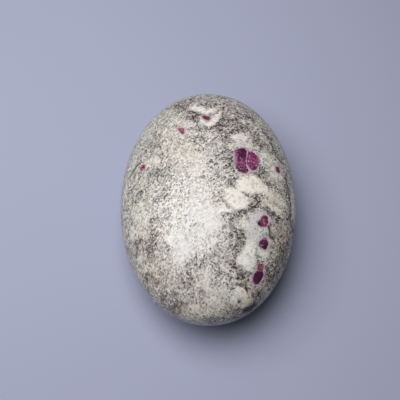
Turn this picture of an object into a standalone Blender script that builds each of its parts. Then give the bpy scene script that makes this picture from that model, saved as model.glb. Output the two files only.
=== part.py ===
# Ruby in albite: a polished oval palm stone, one piece of rock.
# Units are metres and +Z is up. The stone's long axis is Y and its short axis is X.
# The origin is the middle of the small flat spot that the stone rests on.

from math import radians

import bmesh
import bpy
from mathutils import Vector

MM = 0.001

# The stone's size over all.
STONE_WIDTH = 49.5 * MM
STONE_LENGTH = 69.3 * MM
STONE_HEIGHT = 26.6 * MM

# How full the curves are: 2 is a plain ellipse, and a larger number is fuller.
PLAN_FULLNESS = 2.05
SECTION_FULLNESS = 2.2

# The depth that the flat spot takes off the underside's full curve. Points this near the flat are
# laid on it, which keeps its edge even.
FLAT_DEPTH = 0.4 * MM
FLAT_SNAP = 0.05 * MM

# Broad low swells left by the grinding wheel: direction from the stone's middle, rise, and tightness.
GRINDING_SWELLS = (
    (Vector((-0.55, 0.45, 0.70)), 0.30 * MM, 6),
    (Vector((0.50, -0.60, 0.62)), 0.25 * MM, 8),
    (Vector((0.35, 0.80, 0.50)), -0.20 * MM, 10),
    (Vector((-0.60, -0.50, -0.62)), 0.25 * MM, 6),
    (Vector((0.70, 0.30, -0.65)), -0.20 * MM, 8),
)

# The number of times that the starting icosahedron's faces are split.
FORM_SUBDIVISIONS = 5

# The ruby crystals, cut through and ground flush. "place" is a crystal's X and Y on the stone, in mm.
# "outline" gives its corners across and along the surface from there, in mm, anticlockwise in plan.
TOP_RUBIES = {
    "large_left": {
        "place": (8.8, 8.0),
        "outline": ((-2.1, 3.4), (-2.0, -2.0), (0.7, -1.9), (1.4, 3.8), (0.2, 4.4)),
    },
    "large_foot": {
        "place": (8.8, 5.0),
        "outline": ((-1.9, 0.4), (-1.0, -0.5), (1.4, -0.7), (1.7, 0.3), (0.8, 1.6), (-1.3, 1.5)),
    },
    "large_right": {
        "place": (11.8, 8.5),
        "outline": ((-1.8, -0.8), (-1.5, -2.1), (-0.4, -3.1), (0.9, -2.6), (1.9, -0.6), (1.9, 1.3),
                    (0.9, 2.6), (-0.2, 3.1), (-1.2, 2.8), (-1.6, 0.8)),
    },
    "right_upper": {
        "place": (14.3, -8.9),
        "outline": ((-1.7, -0.7), (-1.1, -1.5), (1.1, -1.1), (1.6, 0.1), (1.4, 1.4), (-0.2, 1.5)),
    },
    "right_middle": {
        "place": (14.5, -14.8),
        "outline": ((-1.5, -0.7), (-0.8, -1.4), (0.1, -1.6), (1.4, -1.0), (1.6, 0.0), (1.2, 1.1),
                    (0.3, 1.8), (-0.6, 1.4)),
    },
    "right_lower_pink": {
        "place": (13.5, -21.2),
        "outline": ((-1.0, -0.2), (-0.3, -0.8), (0.8, -0.9), (1.0, 0.0), (0.4, 1.0), (-0.8, 0.8)),
    },
    "right_lower": {
        "place": (12.8, -23.4),
        "outline": ((-1.3, -0.2), (-1.2, -1.2), (-0.4, -1.9), (0.7, -1.6), (1.5, -0.3), (1.5, 0.7),
                    (0.4, 1.6), (-0.4, 1.5)),
    },
    "far_end": {
        "place": (-1.0, 21.9),
        "outline": ((-1.0, 0.3), (-0.7, -0.7), (0.1, -0.9), (0.8, -0.6), (0.8, 0.5), (-0.1, 1.1)),
    },
    "far_left": {
        "place": (-8.0, 17.4),
        "outline": ((-1.3, 1.0), (0.3, -1.4), (0.8, -1.2), (0.8, 0.8), (-0.2, 1.3)),
    },
    "left_edge": {
        "place": (-18.5, 6.8),
        "outline": ((-0.9, 0.2), (-0.4, -0.7), (0.3, -0.7), (0.8, -0.2), (0.6, 0.5), (-0.4, 1.0)),
    },
    "right_edge": {
        "place": (19.0, 7.1),
        "outline": ((-0.8, 0.8), (-0.6, -0.8), (0.3, -0.9), (0.7, 0.0), (0.5, 1.1)),
    },
}

UNDERSIDE_RUBIES = {
    "under_large": {
        "place": (-9.5, 12.0),
        "outline": ((-2.2, 0.4), (-1.4, -1.9), (0.9, -2.2), (2.3, -0.3), (1.5, 1.9), (-0.7, 2.3)),
    },
    "under_middle": {
        "place": (7.0, -15.5),
        "outline": ((-1.3, 0.5), (-0.9, -1.1), (0.8, -1.4), (1.5, 0.1), (0.5, 1.3)),
    },
    "under_small": {
        "place": (14.5, 9.5),
        "outline": ((-0.9, 0.1), (-0.3, -0.9), (0.8, -0.6), (0.9, 0.6), (-0.2, 1.0)),
    },
    "under_end": {
        "place": (-3.5, -24.0),
        "outline": ((-1.0, -0.4), (0.1, -1.1), (1.1, -0.2), (0.6, 0.9), (-0.6, 0.8)),
    },
}

# A crystal's sides are cut only into the faces that lie this many times its half width around it.
CUT_REACH = 1.6

# Edges shorter than this are closed up after the cutting.
SHORTEST_EDGE = 0.02 * MM

ALBITE_COLOUR = (0.42, 0.41, 0.38, 1.0)
ALBITE_ROUGHNESS = 0.22
RUBY_COLOUR = (0.13, 0.015, 0.06, 1.0)
RUBY_ROUGHNESS = 0.12


def clear_scene():
    for leftover in list(bpy.data.objects):
        bpy.data.objects.remove(leftover, do_unlink=True)


def make_material(name, colour, roughness):
    material = bpy.data.materials.new(name)
    material.use_nodes = True
    shader = material.node_tree.nodes["Principled BSDF"]
    shader.inputs["Base Color"].default_value = colour
    shader.inputs["Roughness"].default_value = roughness
    shader.inputs["Metallic"].default_value = 0.0
    material.diffuse_color = colour
    return material


def form_distance(direction):
    """The distance from the stone's middle to its surface, along a unit direction."""
    half_height = (STONE_HEIGHT + FLAT_DEPTH) / 2
    across = abs(direction.x / (STONE_WIDTH / 2))
    along = abs(direction.y / (STONE_LENGTH / 2))
    plan = (across**PLAN_FULLNESS + along**PLAN_FULLNESS) ** (1 / PLAN_FULLNESS)
    rise = abs(direction.z / half_height)
    distance = (plan**SECTION_FULLNESS + rise**SECTION_FULLNESS) ** (-1 / SECTION_FULLNESS)
    for towards, height, tightness in GRINDING_SWELLS:
        facing = max(0.0, direction.dot(towards.normalized()))
        distance += height * facing**tightness
    return distance


def shape_pebble(form):
    """Turns a unit sphere into the pebble, then grinds the flat spot at Z = 0."""
    middle_height = (STONE_HEIGHT + FLAT_DEPTH) / 2 - FLAT_DEPTH
    for point in form.verts:
        direction = point.co.normalized()
        point.co = direction * form_distance(direction) + Vector((0, 0, middle_height))
        if abs(point.co.z) < FLAT_SNAP:
            point.co.z = 0.0
    everything = form.verts[:] + form.edges[:] + form.faces[:]
    cut = bmesh.ops.bisect_plane(
        form, geom=everything, plane_co=(0, 0, 0), plane_no=(0, 0, -1), clear_outer=True
    )
    rim = [item for item in cut["geom_cut"] if isinstance(item, bmesh.types.BMEdge)]
    bmesh.ops.holes_fill(form, edges=rim)


def surface_point(form, place, side):
    """The face's middle and normal nearest to a place given in plan, on the top or the underside."""
    across, along = (value * MM for value in place)
    nearest = min(
        (face for face in form.faces if face.normal.z * side > 0),
        key=lambda face: (face.calc_center_median().xy - Vector((across, along))).length,
    )
    normal = nearest.normal.copy()
    start = nearest.calc_center_median()
    height = start.z - ((across - start.x) * normal.x + (along - start.y) * normal.y) / normal.z
    return Vector((across, along, height)), normal


def cut_crystal(form, crystal, side):
    """Cuts a crystal's outline into the surface and gives the faces inside it the ruby material."""
    centre, normal = surface_point(form, crystal["place"], side)
    across = (Vector((1, 0, 0)) - normal * normal.x).normalized()
    along = normal.cross(across) * side
    corners = [centre + (across * u + along * v) * MM for u, v in crystal["outline"]]
    reach = CUT_REACH * max((corner - centre).length for corner in corners)
    planes = []
    for corner, following in zip(corners, corners[1:] + corners[:1]):
        planes.append((corner, (following - corner).cross(normal).normalized() * side))
    for corner, outwards in planes:
        near = [
            face
            for face in form.faces
            if face.normal.dot(normal) > 0 and (face.calc_center_median() - centre).length < reach
        ]
        edges = {edge for face in near for edge in face.edges}
        points = {point for face in near for point in face.verts}
        bmesh.ops.bisect_plane(
            form, geom=near + list(edges) + list(points), plane_co=corner, plane_no=outwards
        )
    for face in form.faces:
        middle = face.calc_center_median()
        if face.normal.dot(normal) <= 0 or (middle - centre).length > reach:
            continue
        if all((middle - corner).dot(outwards) < 0 for corner, outwards in planes):
            face.material_index = 1


def build_stone(collection):
    form = bmesh.new()
    bmesh.ops.create_icosphere(form, subdivisions=FORM_SUBDIVISIONS, radius=1.0)
    shape_pebble(form)
    form.normal_update()
    for crystal in TOP_RUBIES.values():
        cut_crystal(form, crystal, 1)
    for crystal in UNDERSIDE_RUBIES.values():
        cut_crystal(form, crystal, -1)
    bmesh.ops.dissolve_degenerate(form, dist=SHORTEST_EDGE, edges=form.edges[:])
    bmesh.ops.triangulate(form, faces=form.faces[:])
    bmesh.ops.recalc_face_normals(form, faces=form.faces[:])
    mesh = bpy.data.meshes.new("stone")
    form.to_mesh(mesh)
    form.free()
    mesh.materials.append(make_material("albite", ALBITE_COLOUR, ALBITE_ROUGHNESS))
    mesh.materials.append(make_material("ruby", RUBY_COLOUR, RUBY_ROUGHNESS))
    mesh.shade_smooth()
    mesh.set_sharp_from_angle(angle=radians(30))
    stone = bpy.data.objects.new("stone", mesh)
    collection.objects.link(stone)
    return stone


def main():
    clear_scene()
    collection = bpy.data.collections.new("ruby_in_albite")
    bpy.context.scene.collection.children.link(collection)
    build_stone(collection)


main()
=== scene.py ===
import math

import bmesh
import bpy
import numpy as np
from mathutils import Matrix, Vector, noise
from mathutils.bvhtree import BVHTree


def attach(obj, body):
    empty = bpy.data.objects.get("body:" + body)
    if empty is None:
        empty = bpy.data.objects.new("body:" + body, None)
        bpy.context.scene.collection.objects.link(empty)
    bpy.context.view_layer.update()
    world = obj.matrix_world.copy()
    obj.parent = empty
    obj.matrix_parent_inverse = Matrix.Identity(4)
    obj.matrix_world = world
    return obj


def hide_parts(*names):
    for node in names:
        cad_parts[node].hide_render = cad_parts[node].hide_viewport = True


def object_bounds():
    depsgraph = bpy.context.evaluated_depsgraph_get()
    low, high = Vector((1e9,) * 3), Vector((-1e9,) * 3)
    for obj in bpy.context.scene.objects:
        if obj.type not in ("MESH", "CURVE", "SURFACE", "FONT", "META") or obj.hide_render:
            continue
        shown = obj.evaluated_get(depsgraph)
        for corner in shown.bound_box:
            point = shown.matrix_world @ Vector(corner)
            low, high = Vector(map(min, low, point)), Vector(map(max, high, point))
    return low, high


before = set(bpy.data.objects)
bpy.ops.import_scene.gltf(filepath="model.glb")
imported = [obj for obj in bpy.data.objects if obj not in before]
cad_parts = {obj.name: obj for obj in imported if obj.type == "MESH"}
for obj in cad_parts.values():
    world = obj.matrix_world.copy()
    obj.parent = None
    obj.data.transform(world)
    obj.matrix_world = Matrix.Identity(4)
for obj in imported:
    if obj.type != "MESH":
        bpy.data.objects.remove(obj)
cadLow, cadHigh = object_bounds()
mm = 0.001  # lengths in the dictionaries below are in millimetres
print("frame loaded, the stone's box is", [round(side / mm, 2) for side in cadHigh - cadLow], "mm")


def addObject(name, data):
    added = bpy.data.objects.new(name, data)
    bpy.context.scene.collection.objects.link(added)
    return added


def addMaterial(name):
    material = bpy.data.materials.new(name)
    material.use_nodes = True
    return material, material.node_tree, material.node_tree.nodes["Principled BSDF"]


# camera

cameraView = {
    "elevation": 68.0,  # degrees above the table
    "turn": 3.1,  # degrees that the view's ground direction is turned right of the long axis
    "roll": 3.9,  # degrees
    "distance": 212.3,
    "aim": (-2.4, 1.3, 13.1),
    "lens": 67.1,
    "sensor": 36,
    "nearest": 10,  # what is closer isn't drawn
}


def makeCamera(look):
    elevation, turn, roll = (math.radians(look[key]) for key in ("elevation", "turn", "roll"))
    forward = Vector((
        math.sin(turn) * math.cos(elevation),
        math.cos(turn) * math.cos(elevation),
        -math.sin(elevation),
    ))
    levelRight = Vector((math.cos(turn), -math.sin(turn), 0))
    levelUp = levelRight.cross(forward)
    right = levelRight * math.cos(roll) + levelUp * math.sin(roll)
    up = levelUp * math.cos(roll) - levelRight * math.sin(roll)
    lensData = bpy.data.cameras.new("photoCamera")
    lensData.lens = look["lens"]
    lensData.sensor_width = look["sensor"]
    lensData.clip_start = look["nearest"] * mm
    camera = addObject("photoCamera", lensData)
    place = Vector(look["aim"]) * mm - forward * look["distance"] * mm
    axes = Matrix((right, up, -forward)).transposed()
    camera.matrix_world = Matrix.Translation(place) @ axes.to_4x4()
    bpy.context.scene.camera = camera


makeCamera(cameraView)
print("camera set")


# node helpers, for shader and geometry trees alike

def wire(tree, node, inputs):  # each socket, by name or number, gets a value or another node's output
    for socket, value in inputs.items():
        if isinstance(value, bpy.types.NodeSocket):
            tree.links.new(value, node.inputs[socket])
        else:
            node.inputs[socket].default_value = value


def addNode(tree, kind, inputs=None, **settings):  # gives the new node's outputs
    node = tree.nodes.new(kind)
    for name, value in settings.items():
        setattr(node, name, value)
    wire(tree, node, inputs or {})
    return node.outputs


def calc(tree, operation, *values, clamp=False):
    inputs = dict(enumerate(values))
    return addNode(tree, "ShaderNodeMath", inputs, operation=operation, use_clamp=clamp)[0]


def vectorCalc(tree, operation, *vectors, scale=None):
    inputs = dict(enumerate(vectors)) | ({} if scale is None else {"Scale": scale})
    outputs = addNode(tree, "ShaderNodeVectorMath", inputs, operation=operation)
    return outputs["Value" if operation == "DOT_PRODUCT" else "Vector"]


def split(tree, vector):  # into X, Y and Z
    return addNode(tree, "ShaderNodeSeparateXYZ", {0: vector})


def joined(tree, values):  # X, Y and Z in one vector
    return addNode(tree, "ShaderNodeCombineXYZ", dict(enumerate(values)))[0]


def channels(tree, colour):
    return addNode(tree, "ShaderNodeSeparateColor", {0: colour})


def noiseOf(tree, vector, scale, detail=2.0, rough=0.5, colour=False):
    inputs = {"Vector": vector, "Scale": scale, "Detail": detail, "Roughness": rough}
    return addNode(tree, "ShaderNodeTexNoise", inputs)["Color" if colour else "Fac"]


def evenNoise(tree, vector, *settings):  # as often below 0 as above it
    return calc(tree, "SUBTRACT", noiseOf(tree, vector, *settings), 0.5)


def wandering(tree, vector, scale):  # a small vector that wanders round 0
    return vectorCalc(tree, "SUBTRACT", noiseOf(tree, vector, scale, 1, colour=True), (0.5, 0.5, 0.5))


def shifted(tree, vector, by, reach):
    return vectorCalc(tree, "ADD", vector, vectorCalc(tree, "SCALE", by, scale=reach))


def grainsOf(tree, vector, size):  # three random numbers for each grain
    inputs = {"Vector": vector, "Scale": 1 / size, "Randomness": 1.0}
    return channels(tree, addNode(tree, "ShaderNodeTexVoronoi", inputs, feature="F1")["Color"])


def step(tree, value, low, high):  # 0 below low, 1 above high, smooth between
    inputs = {"Value": value, "From Min": low, "From Max": high}
    return addNode(tree, "ShaderNodeMapRange", inputs, interpolation_type="SMOOTHSTEP")["Result"]


def weighted(tree, patterns, weights, edge=None):  # a sum of named patterns, stepped where there is an edge
    total = weights.get("base", 0.0)
    for name, weight in weights.items():
        if name != "base":
            total = calc(tree, "MULTIPLY_ADD", patterns[name], weight, total)
    return step(tree, total, *edge) if edge else total


def blend(tree, amount, first, second, kind="MIX", cover=None):
    if cover is not None:
        amount = calc(tree, "MULTIPLY", amount, cover)
    inputs = {0: amount, 6: first, 7: second}  # the sockets of a colour mix
    return addNode(tree, "ShaderNodeMix", inputs, data_type="RGBA", blend_type=kind, clamp_factor=True)[2]


def painted(tree, name):  # a value stored on the mesh's own points
    return addNode(tree, "ShaderNodeAttribute", attribute_name=name)["Fac"]


def objectInMm(tree):
    return vectorCalc(tree, "SCALE", addNode(tree, "ShaderNodeTexCoord")["Object"], scale=1 / mm)


# albite: the pale, finely speckled rock

albiteLook = {
    "streakNormal": (0.40, -0.40, 0.82),  # the grains lie flat across this direction
    "streakSquash": 4.0,  # how many times thinner the streaks are along it
    "grainSquash": 1.5,
    "flakeSquash": 2.6,
    "grainSize": 0.38,
    "flakeSize": 0.95,
    "flakeShare": 0.32,  # how many dark flakes there are beside the dark grains
    "pepper": 1.0,  # how black the scattered single grains are
    "wobbleScale": 0.22,  # bends the streaks
    "wobbleReach": 2.2,
    "crumbScale": 3.2,  # roughens the grains' outlines
    "grainCrumb": 0.30,
    "flakeCrumb": 0.40,
    "refraction": 1.53,
    "bump": 0.10,
    "bumpDepth": 0.05,
    # noises: scale, detail and roughness
    "broad": (0.11, 3, 0.6),
    "streak": (0.38, 4, 0.68),
    "clump": (1.1, 3, 0.65),
    "mottle": (0.8, 3, 0.7),
    "drift": (0.3, 2, 0.6),
    # colours
    "pale": (0.785, 0.752, 0.705, 1),
    "grey": (0.262, 0.246, 0.238, 1),
    "dark": (0.030, 0.027, 0.028, 1),
    "brown": (0.058, 0.036, 0.031, 1),
    "cream": (0.915, 0.885, 0.815, 1),
    "milk": (0.905, 0.89, 0.86, 1),
    "greyMilk": (0.52, 0.52, 0.49, 1),
    "frost": (0.66, 0.66, 0.655, 1),
    "maroon": (0.040, 0.016, 0.022, 1),
    "mauve": (0.50, 0.29, 0.41, 1),
    "warmTint": (1.0, 0.965, 0.90, 1),
    "greenTint": (0.965, 1.0, 0.965, 1),
    "pinkTint": (1.0, 0.935, 0.925, 1),
    "lavenderTint": (0.93, 0.93, 1.0, 1),
    # how much of the colour below each one hides at most
    "covers": {"frost": 0.72, "cream": 0.95, "veil": 0.85, "drift": 0.5, "maroon": 0.92, "halo": 0.85,
               "crack": 0.95},
    # what each pattern or painted value adds to a property; "base" is where it starts
    "mixes": {
        "tone": {"base": 0.02, "grain": 0.76, "flake": 0.36, "streak": 1.4, "clump": 1.4, "mottle": 1.4,
                 "broad": 0.35, "darkPatch": -0.40, "blackClump": -0.35},
        "frostingAndHighlightVeil": {"frostAndHighlightVeil": 1.0, "clump": 1.5, "otherGrain": 0.45},
        "creaming": {"creamPatch": 1.0, "streak": 0.6, "clump": 1.3, "otherGrain": 0.26},
        "veil": {"mottle": -2.0, "clump": 2.6, "grain": 0.55},
        "crowd": {"base": 0.19, "broad": 0.5, "streak": 0.9, "clump": 0.6, "darkPatch": 0.20,
                  "blackClump": 0.18, "creaming": -0.55, "frostingAndHighlightVeil": -0.14},
        "fullest": {"base": 0.42, "darkPatch": 0.14, "blackClump": 0.12},
        "grainDepth": {"base": 0.36, "darkPatch": 0.42, "blackClump": 0.20, "otherGrain": 0.60},
        "flakeDepth": {"base": 0.42, "blackClump": 0.40, "otherFlake": 0.35},
        "stainAndShade": {"maroonStainAndShade": 1.0, "clump": 1.4, "grain": 0.4},
        "halo": {"rubyHalo": 1.0, "clump": 1.8},
        "roughness": {"base": 0.32, "spots": 0.10, "clump": 0.25},
        "gloss": {"base": 0.5, "maroonStainAndShade": -0.38},
        "relief": {"spots": -1.0, "clump": 0.5},
    },
    # where a property, or a pattern by itself, begins to show and where it shows in full
    "edges": {
        "frostingAndHighlightVeil": (0.35, 1.35), "creaming": (0.26, 0.84), "milk": (-0.12, 0.14), "veil": (0.15, 0.85),
        "darkGrain": (-0.02, 0.05), "darkFlake": (-0.02, 0.03), "brown": (0.35, 0.65),
        "pepper": (0.86, 0.90), "pepperCrowd": (0.0, 0.22), "drift": (0.45, 0.72), "stainAndShade": (0.45, 0.95),
        "halo": (0.50, 1.10),
    },
}


def makeAlbite(look):
    material, tree, shader = addMaterial("polishedAlbite")
    covers, edges = look["covers"], look["edges"]
    inMm = objectInMm(tree)
    lay = Vector(look["streakNormal"]).rotation_difference(Vector((0, 0, 1))).to_euler()
    turned = addNode(tree, "ShaderNodeMapping", {"Vector": inMm, "Rotation": lay}, vector_type="POINT")[0]
    laid = shifted(tree, turned, wandering(tree, inMm, look["wobbleScale"]), look["wobbleReach"])
    crumb = wandering(tree, inMm, look["crumbScale"])
    streaked, grained, slivered = (
        vectorCalc(tree, "MULTIPLY", vector, (1, 1, look[squash]))
        for vector, squash in ((laid, "streakSquash"), (turned, "grainSquash"), (laid, "flakeSquash"))
    )
    grain = grainsOf(tree, shifted(tree, grained, crumb, look["grainCrumb"]), look["grainSize"])
    flake = grainsOf(tree, shifted(tree, slivered, crumb, look["flakeCrumb"]), look["flakeSize"])
    patterns = {"grain": grain[1], "otherGrain": grain[2], "flake": flake[1], "otherFlake": flake[2]}
    for name, vector in (("broad", streaked), ("streak", streaked), ("clump", grained), ("mottle", inMm)):
        patterns[name] = evenNoise(tree, vector, *look[name])
    for name in ("creamPatch", "frostAndHighlightVeil", "darkPatch", "blackClump", "maroonStainAndShade", "rubyHalo"):
        patterns[name] = painted(tree, name)

    def mixed(name):
        return weighted(tree, patterns, look["mixes"][name], edges.get(name))

    # the ground mass: pale grains beside grey ones
    colour = blend(tree, mixed("tone"), look["grey"], look["pale"])

    # frosty patches, which keep their specks, a painted highlight veil over the centre in the same way, and
    # cleaner creamy ones
    patterns["frostingAndHighlightVeil"] = mixed("frostingAndHighlightVeil")
    colour = blend(tree, patterns["frostingAndHighlightVeil"], colour, look["frost"], cover=covers["frost"])
    patterns["creaming"] = mixed("creaming")
    milk = blend(tree, step(tree, patterns["mottle"], *edges["milk"]), look["milk"], look["cream"])
    milk = blend(tree, mixed("veil"), milk, look["greyMilk"], cover=covers["veil"])
    colour = blend(tree, patterns["creaming"], colour, milk, cover=covers["cream"])

    # dark grains and flakes, crowded where the painted values are high, and single black grains
    crowd = calc(tree, "MINIMUM", mixed("crowd"), mixed("fullest"))
    small = step(tree, calc(tree, "SUBTRACT", crowd, grain[0]), *edges["darkGrain"])
    small = calc(tree, "MULTIPLY", small, mixed("grainDepth"))
    large = calc(tree, "SUBTRACT", calc(tree, "MULTIPLY", crowd, look["flakeShare"]), flake[0])
    large = calc(tree, "MULTIPLY", step(tree, large, *edges["darkFlake"]), mixed("flakeDepth"))
    pepper = step(tree, grain[2], *edges["pepper"])
    pepper = calc(tree, "MULTIPLY", pepper, step(tree, crowd, *edges["pepperCrowd"]))
    small = calc(tree, "MAXIMUM", small, calc(tree, "MULTIPLY", pepper, look["pepper"]))
    patterns["spots"] = calc(tree, "MAXIMUM", small, large, clamp=True)
    speckColour = blend(tree, step(tree, grain[1], *edges["brown"]), look["dark"], look["brown"])
    colour = blend(tree, patterns["spots"], colour, speckColour)

    # tints: a faint drift of hue, and the painted ones
    drift = channels(tree, noiseOf(tree, laid, *look["drift"], colour=True))
    for value, tint in zip(drift, ("greenTint", "pinkTint", "warmTint")):
        amount = step(tree, value, *edges["drift"])
        colour = blend(tree, amount, colour, look[tint], "MULTIPLY", covers["drift"])
    for tint in ("warmTint", "greenTint", "pinkTint", "lavenderTint"):
        colour = blend(tree, painted(tree, tint), colour, look[tint], "MULTIPLY")

    # the maroon stain, partly painted shade on the lower right rim, mauve beside the rubies, and the
    # hairline cracks
    colour = blend(tree, mixed("stainAndShade"), colour, look["maroon"], cover=covers["maroon"])
    colour = blend(tree, mixed("halo"), colour, look["mauve"], cover=covers["halo"])
    colour = blend(tree, painted(tree, "crackLine"), colour, look["dark"], cover=covers["crack"])

    relief = {"Height": mixed("relief"), "Strength": look["bump"], "Distance": look["bumpDepth"] * mm}
    wire(tree, shader, {
        "Base Color": colour,
        "Roughness": mixed("roughness"),
        "Specular IOR Level": mixed("gloss"),
        "IOR": look["refraction"],
        "Normal": addNode(tree, "ShaderNodeBump", relief)["Normal"],
    })
    return material


# ruby: glassy crystals, nearly opaque

rubyShades = ("rim", "lightness", "mauve", "brown", "crimson")  # values painted on the crystals' points

rubyLook = {
    "grainSize": 0.29,
    "crumbScale": 3.0,
    "crumb": 0.45,
    "cloud": (0.9, 3, 0.6),  # scale, detail and roughness
    "refraction": 1.77,
    "gloss": 0.26,  # specular level
    "dark": (0.050, 0.010, 0.037, 1),
    "red": (0.225, 0.036, 0.134, 1),
    "pink": (0.48, 0.20, 0.36, 1),
    # glint: painted reflection, pale specks for light caught by cleavages inside the crystal
    "glint": (0.74, 0.56, 0.68, 1),
    "mauve": (0.33, 0.185, 0.245, 1),
    "brown": (0.078, 0.028, 0.042, 1),
    "rim": (0.36, 0.20, 0.27, 1),
    "crimson": (1, 1, 0.55, 1),
    "covers": {"brown": 0.85, "speck": 0.65, "glint": 0.6, "rim": 0.8, "crimson": 0.45},
    "mixes": {
        "light": {"lightness": 1.0, "cloud": 1.0, "grain": 0.75},
        "brownShade": {"brown": 1.0, "cloud": 0.8},
        "mauveShade": {"mauve": 1.0, "cloud": 0.9, "otherGrain": 0.5},
        "rimShade": {"rim": 1.0, "thirdGrain": 0.7},
        "roughness": {"base": 0.20, "grain": 0.1},
    },
    "edges": {
        "red": (0.0, 1.0),
        "pink": (0.95, 1.5),
        "brownShade": (0.2, 0.8),
        "mauveShade": (0.25, 0.95),
        "rimShade": (0.45, 1.1),
        "clear": (0.0, 0.7),  # the lightness from which a crystal shows specks and glints
        "speck": (0.34, 0.42),
        "glint": (0.45, 0.47),
    },
}


def makeRuby(look):
    material, tree, shader = addMaterial("ruby")
    covers, edges = look["covers"], look["edges"]
    inMm = objectInMm(tree)
    crumbled = shifted(tree, inMm, wandering(tree, inMm, look["crumbScale"]), look["crumb"])
    patterns = {name: painted(tree, name) for name in rubyShades}
    patterns["cloud"] = evenNoise(tree, inMm, *look["cloud"])
    grains = grainsOf(tree, crumbled, look["grainSize"])
    for name, value in zip(("grain", "otherGrain", "thirdGrain"), grains):
        patterns[name] = calc(tree, "SUBTRACT", value, 0.5)

    def mixed(name):
        return weighted(tree, patterns, look["mixes"][name], edges.get(name))

    light = mixed("light")
    colour = blend(tree, step(tree, light, *edges["red"]), look["dark"], look["red"])
    colour = blend(tree, step(tree, light, *edges["pink"]), colour, look["pink"])
    colour = blend(tree, patterns["crimson"], colour, look["crimson"], "MULTIPLY")
    colour = blend(tree, mixed("brownShade"), colour, look["brown"], cover=covers["brown"])
    colour = blend(tree, mixed("mauveShade"), colour, look["mauve"])
    clear = step(tree, patterns["lightness"], *edges["clear"])
    # pink specks, and painted glints: pale specks for light caught by cleavages inside the crystal
    for name, grain, tint in (("speck", "otherGrain", "pink"), ("glint", "thirdGrain", "glint")):
        amount = calc(tree, "MULTIPLY", step(tree, patterns[grain], *edges[name]), clear)
        colour = blend(tree, amount, colour, look[tint], cover=covers[name])
    colour = blend(tree, mixed("rimShade"), colour, look["rim"], cover=covers["rim"])
    colour = blend(tree, patterns["crimson"], colour, look["crimson"], "MULTIPLY", covers["crimson"])
    wire(tree, shader, {
        "Base Color": colour,
        "Roughness": mixed("roughness"),
        "Specular IOR Level": look["gloss"],
        "IOR": look["refraction"],
    })
    return material


# the stone's form: one rule for the whole pebble, the same as the CAD solid's

pebbleLook = {
    "Points Across": 121,
    "Points Along": 169,
    "Points Up": 67,
    "Width": 49.5 * mm,
    "Length": 69.3 * mm,
    "Height": 27.0 * mm,  # before the flat spot is ground
    "Plan Fullness": 2.05,
    "Section Fullness": 2.2,
    "Flat Depth": 0.4 * mm,
    "Flat Edge": 0.12 * mm,
    "Ripple Height": 0.035 * mm,
    "Ripple Size": 6.5 * mm,
    "Ripple From": 0.1 * mm,  # above the flat spot, where the ripple begins
    "Ripple Full": 1.5 * mm,
}

# broad low swells left by the grinding wheel: direction, rise and tightness
grindingSwells = (
    ((-0.55, 0.45, 0.70), 0.30 * mm, 6),
    ((0.50, -0.60, 0.62), 0.25 * mm, 8),
    ((0.35, 0.80, 0.50), -0.20 * mm, 10),
    ((-0.60, -0.50, -0.62), 0.25 * mm, 6),
    ((0.70, 0.30, -0.65), -0.20 * mm, 8),
)


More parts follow.
